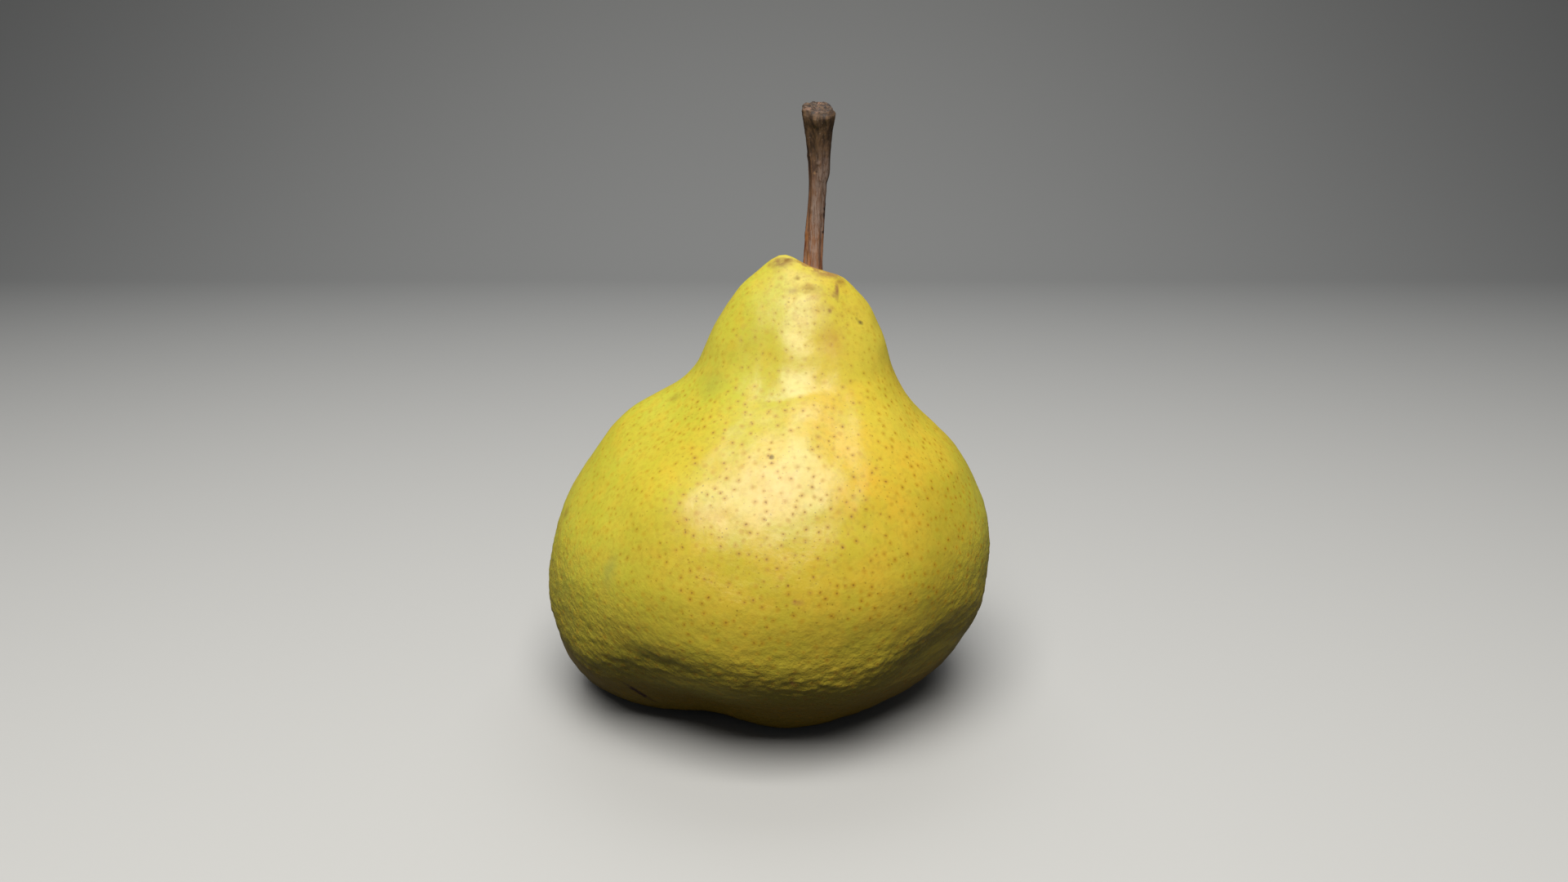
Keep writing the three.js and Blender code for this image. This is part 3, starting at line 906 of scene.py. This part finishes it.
# marks on the skin: middle and half sizes in millimetres, firmness, strength and colour
SKIN_MARKS = {
    "crown smudge": ((1.4, -2.4, 74.8), (3.6, 2.6, 1.6), 0.2, 1.0, OLIVE_BROWN),
    "crown smudge end": ((3.1, -2.4, 75.2), (1.4, 1, 0.7), 0.2, 1.0, rgb(136, 104, 44)),
    "rim russet": ((9.2, -4.3, 73.2), (3.4, 1.8, 1.2), 0.2, 0.55, RED_BROWN),
    "rim russet right": ((11.6, -3.9, 72), (1.8, 2, 1.3), 0.2, 0.6, RED_BROWN),
    "short streak": ((4.5, -5.6, 72.7), (0.8, 0.8, 0.5), 0.2, 0.8, OLIVE_BROWN),
    "freckle patch": ((3.7, -7.2, 70.9), (1.3, 1.2, 1), 0.0, 0.6, OLIVE_BROWN),
    "neck smudge": ((6.4, -7.3, 71.2), (2.8, 1.8, 1.3), 0.0, 0.65, OLIVE_BROWN),
    "long streak": ((10.8, -6.3, 70.8), (0.6, 2.4, 2.2), 0.2, 0.85, RED_BROWN),
    "streak spot": ((10.4, -7.1, 70.2), (0.6, 0.7, 0.7), 0.2, 0.8, RED_BROWN),
    "neck spot": ((9.6, -9, 68), (0.6, 0.6, 0.7), 0.1, 0.7, RED_BROWN),
    "neck mole": ((14.8, -7.2, 65.8), (0.8, 0.8, 0.7), 0.2, 0.85, DARK_BROWN),
    "neck mole tail": ((14.2, -7.2, 66.4), (0.7, 0.6, 0.6), 0.1, 0.6, DARK_BROWN),
    "neck bruise": ((9.9, -11.4, 63.5), (3.2, 3, 4.6), 0.0, 0.55, BRUISE),
    "waist green": ((-9.2, -10.3, 56.6), (5, 5, 4), 0.0, 0.4, DULL_GREEN),
    "shoulder smudge": ((-15.7, -6.1, 53.2), (2.8, 1.8, 1.3), 0.1, 0.45, OLIVE_BROWN),
    "front mole": ((0.6, -24.5, 48.5), (0.55, 0.6, 0.6), 0.3, 0.9, DARK_BROWN),
    "left patch": ((-34.1, -8.2, 34), (2, 2.2, 1.6), 0.1, 0.45, RED_BROWN),
    "left green patch": ((-23.9, -27.3, 31.6), (2.4, 2.4, 4.6), 0.0, 0.65, DULL_GREEN),
    "belly patch": ((4.4, -36.9, 30.6), (1.3, 1.2, 0.7), 0.1, 0.45, rgb(170, 104, 74)),
    # painted highlight: two creamy tints laid under the belly's highlight, giving it its colour
    "painted highlight tint": ((-1.2, -27.6, 45.2), (11, 11, 6), 0, 0.35, rgb(222, 176, 96)),
    "painted highlight tint left": ((-9.2, -30.2, 41.4), (7, 7, 3), 0, 0.3, rgb(222, 176, 104)),
    "low spot": ((3.6, -36.4, 17.7), (0.6, 0.6, 0.6), 0.2, 0.8, RED_BROWN),
}

# marks stronger than this are dry and dull as well
DRY_MARK = 0.6

# the thin scar under the left heel
SCAR = {
    "from": (-24.1, -24, 11.8), "to": (-17.4, -20.4, 4.4), "half_width": 0.9,
    "tint": rgb(72, 32, 16),
}


def scar_mask(tree, place):
    """A long oval mark laid from one end of the scar to the other."""
    ends = Vector(SCAR["from"]) * MM, Vector(SCAR["to"]) * MM
    middle, length = (ends[0] + ends[1]) / 2, ends[1] - ends[0]
    axis, angle = length.rotation_difference(Vector((1, 0, 0))).to_axis_angle()
    turned = add(tree, "ShaderNodeVectorRotate", Center=middle, Axis=axis, Angle=angle,
                 Vector=place)
    half = length.length / 2 / MM, SCAR["half_width"], SCAR["half_width"]
    return oval(tree, turned.outputs[0], middle / MM, half, 0.2)


def skin_material():
    material, tree, shader = new_material("pear_skin")
    here = add(tree, "ShaderNodeTexCoord").outputs["Object"]
    bent = use(tree, KIT["wobble"], Vector=here, Lumps_per_metre=900, Reach=0.0005)
    green, gold, dotted = (painted(tree, n) for n in ("green_side", "gold_side", "dotted"))
    lower_tint_and_shade, basin, leather = (painted(tree, n) for n in ("lower_tint_and_shade", "basin", "leather"))
    freckled = painted(tree, "freckled")

    colour = mix(tree, green, SKIN["ripe"], SKIN["greener"])
    colour = mix(tree, gold, colour, SKIN["gold"])
    for size, low, high, share, tint in SKIN_CLOUDS:
        patchy = clouds(tree, here, size, low, high)
        colour = tinted(tree, colour, patchy, share, tint)
    colour = tinted(tree, colour, painted(tree, "pale"), 0.35, SKIN["pale"])
    # darker and browner towards the bottom: partly the skin's own colour, partly painted shade on
    # the lower belly and the right flank
    colour = tinted(tree, colour, lower_tint_and_shade, 0.8, SKIN["lower_tint_and_shade"])
    colour = tinted(tree, colour, smooth(tree, lower_tint_and_shade, 0.85, 1.0), 0.5, SKIN["underneath"])

    dot_middle, dot_size = painted(tree, "dot_middle", "Vector"), painted(tree, "dot_size")
    strength = times(tree, dotted, smooth(tree, dot_size, -0.6, 1.0))
    masks = []
    for kind in (HALOS, CORES):
        least, greatest = kind["radius"]
        radius = smooth(tree, dot_size, 0.0, 1.0, least * MM, greatest * MM)
        masks.append(use(tree, KIT["mark"], Vector=bent, Middle=dot_middle, Half_sizes=radius,
                         Core=0.25))
        tint = mix(tree, leather, *kind["tints"])
        colour = tinted(tree, colour, masks[-1], times(tree, strength, kind["share"]), tint)
    halo, core = masks
    # small specks in the cores' tint, and freckles round the rim
    specks = dots(tree, bent, 0.8, 0.17, 0.15)
    colour = tinted(tree, colour, specks, times(tree, dotted, 0.55), tint)
    freckles = dots(tree, bent, 0.7, 0.26, 0.05)
    colour = tinted(tree, colour, freckles, times(tree, freckled, 0.5), OLIVE_BROWN)
    patchy = clouds(tree, here, 1.6, 0.4, 0.7)
    colour = tinted(tree, colour, patchy, times(tree, freckled, 0.3), SKIN["freckled"])

    worn = clouds(tree, here, 1.1, 0.3, 0.62)
    dull = times(tree, plus(tree, times(tree, halo, strength), core), ROUGHER["dots"])
    for middle, half, firmness, share, tint in SKIN_MARKS.values():
        mark = oval(tree, bent, middle, half, firmness)
        mark = times(tree, mark, plus(tree, times(tree, worn, 0.5), 0.5))
        colour = tinted(tree, colour, mark, share, tint)
        if share > DRY_MARK:
            dull = plus(tree, dull, times(tree, mark, ROUGHER["mark"]))
    scar = scar_mask(tree, bent)
    colour = tinted(tree, colour, scar, plus(tree, worn, 0.4), SCAR["tint"])
    russet = smooth(tree, times(tree, painted(tree, "russet"), plus(tree, worn, 0.5)), 0.2, 0.9)
    colour = tinted(tree, colour, russet, 0.8, SKIN["russet"])
    patchy = plus(tree, times(tree, worn, 0.4), 0.4)
    colour = tinted(tree, colour, basin, patchy, SKIN["basin"])
    join(tree, colour, shader.inputs["Base Color"])

    rough = times(tree, clouds(tree, here, 1.6), ROUGHER["clouds"])
    rough = plus(tree, plus(tree, rough, PLAIN_ROUGHNESS), dull)
    crown = painted(tree, "crown")
    for name, mask in (("russet", russet), ("crown", crown), ("leather", leather)):
        rough = plus(tree, rough, times(tree, mask, ROUGHER[name]))
    join(tree, rough, shader.inputs["Roughness"])

    pores = use(tree, KIT["relief"], Vector=here, Lumps_per_metre=1500, Fine_share=0.3)
    flow = painted(tree, "wrinkle_place", "Vector")
    wrinkles = use(tree, KIT["relief"], Vector=flow, Lumps_per_metre=1250, Fine_share=0.35)
    height = plus(tree, times(tree, pores, 0.3), times(tree, core, -0.15))
    height = plus(tree, height, times(tree, wrinkles, times(tree, leather, 8)))
    height = plus(tree, height, times(tree, worn, times(tree, russet, 0.5)))
    grained(tree, shader, height, 0.6, 0.1 * MM)
    shader.inputs["Diffuse Roughness"].default_value = 0.4
    shader.inputs["Specular IOR Level"].default_value = 0.52
    return material


# marks on the stem, in the same way, and the bark's tints, dark and light
STEM_MARKS = {
    "pale bump": ((7.3, 0, 88.7), (0.3, 0.5, 0.4), 0.2, 0.5, rgb(196, 152, 108)),
    "pale bump rim": ((7.6, -0.1, 88.9), (0.3, 0.4, 0.3), 0.1, 0.7, rgb(40, 26, 18)),
    # painted shade: these near-black marks in the nicks and along the stem's right edge stand for
    # the shade there
    "nick shade": ((9.4, 1.5, 87.4), (0.6, 1.2, 1.1), 0.3, 0.95, rgb(26, 18, 14)),
    "low nick shade": ((9, 0.8, 83), (0.35, 0.8, 0.5), 0.2, 0.9, rgb(30, 20, 14)),
    "low edge": ((8.9, 0.8, 82), (0.3, 0.8, 0.9), 0.2, 0.8, rgb(34, 22, 16)),
    "foot nick shade": ((8.8, 0.9, 79.3), (0.4, 0.8, 0.35), 0.2, 0.8, rgb(34, 20, 14)),
}
BARK_TINTS = {
    "middle": (rgb(78, 48, 32), rgb(152, 108, 76)), "foot": (rgb(140, 74, 34), rgb(228, 146, 74)),
    "upper": (rgb(58, 42, 28), rgb(116, 88, 60)), "painted_sheen": (rgb(112, 88, 74), rgb(186, 164, 152)),
    "cut": (rgb(44, 30, 20), rgb(96, 72, 50)),
}


def bark_material():
    material, tree, shader = new_material("stem_bark")
    here = add(tree, "ShaderNodeTexCoord").outputs["Object"]
    lengthwise = add(tree, "ShaderNodeMapping", here, Scale=(1, 1, 0.12)).outputs[0]
    foot, upper, cut = (painted(tree, n) for n in ("chestnut", "upper", "cut_end"))
    cords = clouds(tree, lengthwise, 0.55)
    threads = clouds(tree, lengthwise, 0.22, 0.4, 0.6)

    colour = mix(tree, cords, *BARK_TINTS["middle"])
    haze = clouds(tree, here, 1.8)
    colour = tinted(tree, colour, haze, 0.3, rgb(128, 108, 92))
    colour = mix(tree, foot, colour, mix(tree, cords, *BARK_TINTS["foot"]))
    colour = mix(tree, upper, colour, mix(tree, cords, *BARK_TINTS["upper"]))
    # painted sheen: the grey streak down the front of the stem
    sheen_grey = mix(tree, threads, *BARK_TINTS["painted_sheen"])
    colour = tinted(tree, colour, painted(tree, "painted_sheen"), 0.7, sheen_grey)
    colour = tinted(tree, colour, threads, 0.3, rgb(56, 38, 26))
    dust = use(tree, KIT["dots"], Vector=here, Cells_per_metre=2600, Radius=0.35,
               Sparseness=0.4)
    colour = tinted(tree, colour, dust, 0.35, rgb(176, 156, 136))

    torn = clouds(tree, here, 0.6, 0.4, 0.62)
    end = mix(tree, torn, *BARK_TINTS["cut"])
    pale = clouds(tree, here, 0.9, 0.55, 0.7)
    end = tinted(tree, end, pale, 0.5, rgb(168, 126, 102))
    hollows = clouds(tree, lengthwise, 0.7, 0.58, 0.68)
    colour = mix(tree, cut, colour, mix(tree, hollows, end, rgb(26, 18, 14)))
    for middle, half, firmness, share, tint in STEM_MARKS.values():
        mark = oval(tree, here, middle, half, firmness)
        colour = tinted(tree, colour, mark, share, tint)
    join(tree, colour, shader.inputs["Base Color"])
    rough = plus(tree, times(tree, cords, 0.12), 0.36)
    join(tree, plus(tree, rough, times(tree, upper, 0.3)), shader.inputs["Roughness"])
    fine = use(tree, KIT["relief"], Vector=lengthwise, Lumps_per_metre=3000, Fine_share=0.5)
    grained(tree, shader, plus(tree, fine, times(tree, torn, cut)), 0.7, 0.1 * MM)
    shader.inputs["Specular IOR Level"].default_value = 0.55
    return material


def calyx_material():
    material, tree, shader = new_material("dry_calyx")
    here = add(tree, "ShaderNodeTexCoord").outputs["Object"]
    patchy = use(tree, KIT["clouds"], Vector=here, Lumps_per_metre=1100)
    flecks = use(tree, KIT["clouds"], Vector=here, Lumps_per_metre=3200, Low=0.45, High=0.7)
    colour = mix(tree, patchy, rgb(62, 44, 32), rgb(112, 84, 60))
    colour = tinted(tree, colour, flecks, 0.5, rgb(36, 26, 20))
    join(tree, colour, shader.inputs["Base Color"])
    join(tree, plus(tree, times(tree, patchy, 0.15), 0.72), shader.inputs["Roughness"])
    wrinkles = use(tree, KIT["relief"], Vector=here, Lumps_per_metre=2600, Fine_share=0.6)
    grained(tree, shader, wrinkles, 0.8, 0.12 * MM)
    return material


# --- stage, light and camera, in metres and degrees ---

FLOOR = {"bend_at": 0.55, "bend": 0.35, "wall": 1.2, "half": 3.0, "steps": 24}

# soft boxes: azimuth, elevation, distance, size, power and colour
LIGHTS = {
    "key_light": (-5, 62.5, 0.5, (0.38, 0.33), 3.6, (1, 0.975, 0.93)),
    "back_light": (180, 60, 0.8, (0.7, 0.5), 1.8, (0.96, 0.98, 1)),
}
LIGHTS_FACE = Vector((0, 0, 0.045))
AIR = {"Color": rgb(200, 208, 220), "Strength": 0.09}
CAMERA = {"elevation": 16, "distance": 0.183, "target": (0.0024, 0, 0.044), "lens": 24.44}


def floor_material():
    """Pale to the eye; it throws less light back up than so close a floor would."""
    material, tree, shader = new_material("pale_floor")
    ray = add(tree, "ShaderNodeLightPath")
    colour = mix(tree, ray.outputs["Is Camera Ray"], rgb(70, 70, 70), rgb(190, 190, 188))
    join(tree, colour, shader.inputs["Base Color"])
    shader.inputs["Roughness"].default_value = 0.8
    return material


def make_floor():
    """A pale floor that sweeps up into a wall behind the pear."""
    bend_at, bend, half = FLOOR["bend_at"], FLOOR["bend"], FLOOR["half"]
    profile = [(-half, 0.0), (bend_at, 0.0)]
    for i in range(1, FLOOR["steps"] + 1):
        turn = i / FLOOR["steps"] * math.pi / 2
        profile.append((bend_at + bend * math.sin(turn), bend * (1 - math.cos(turn))))
    profile.append((bend_at + bend, FLOOR["wall"]))
    points = [(side, y, z) for side in (-half, half) for y, z in profile]
    count = len(profile)
    faces = [(i, count + i, count + i + 1, i + 1) for i in range(count - 1)]
    mesh = bpy.data.meshes.new("floor")
    mesh.from_pydata(points, [], faces)
    smoothed(mesh)
    mesh.update()
    mesh.materials.append(floor_material())
    floor = bpy.data.objects.new("floor", mesh)
    show(floor)


def soft_light(name, azimuth, elevation, distance, size, power, colour):
    """A soft box that faces the middle of the pear."""
    light = bpy.data.lights.new(name, "AREA")
    light.shape = "RECTANGLE"
    light.size, light.size_y = size
    light.energy = power
    light.color = colour
    lamp = bpy.data.objects.new(name, light)
    a, e = math.radians(azimuth), math.radians(elevation)
    away = Vector((math.sin(a) * math.cos(e), -math.cos(a) * math.cos(e), math.sin(e)))
    lamp.location = LIGHTS_FACE + away * distance
    lamp.rotation_mode = "QUATERNION"
    lamp.rotation_quaternion = away.to_track_quat("Z", "Y")
    show(lamp)


def make_lights():
    for name, settings in LIGHTS.items():
        soft_light(name, *settings)
    world = bpy.data.worlds.new("studio_air")
    world.use_nodes = True
    for name, value in AIR.items():
        world.node_tree.nodes["Background"].inputs[name].default_value = value
    bpy.context.scene.world = world


def make_camera():
    elevation = math.radians(CAMERA["elevation"])
    camera = bpy.data.cameras.new("camera")
    camera.sensor_width = 36
    camera.lens = CAMERA["lens"]
    camera.clip_start = 0.01
    eye = bpy.data.objects.new("camera", camera)
    away = Vector((0, -math.cos(elevation), math.sin(elevation)))
    eye.location = Vector(CAMERA["target"]) + CAMERA["distance"] * away
    eye.rotation_euler = (math.pi / 2 - elevation, 0, 0)
    show(eye)
    bpy.context.scene.camera = eye


# --- putting the pear together ---


def place_piece(mesh, node, material):
    """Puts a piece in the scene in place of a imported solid, with its own material."""
    mesh.materials.clear()
    mesh.materials.append(material)
    smoothed(mesh)
    piece = bpy.data.objects.new(mesh.name, mesh)
    show(piece)
    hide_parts(node)
    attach(piece, "root")


make_camera()
make_lights()
make_floor()
bpy.context.scene.view_settings.view_transform = "Standard"

place_piece(make_skin(), "fruit", skin_material())
place_piece(make_stem(), "stem", bark_material())
dry = calyx_material()
place_piece(make_calyx(dry), "calyx", dry)
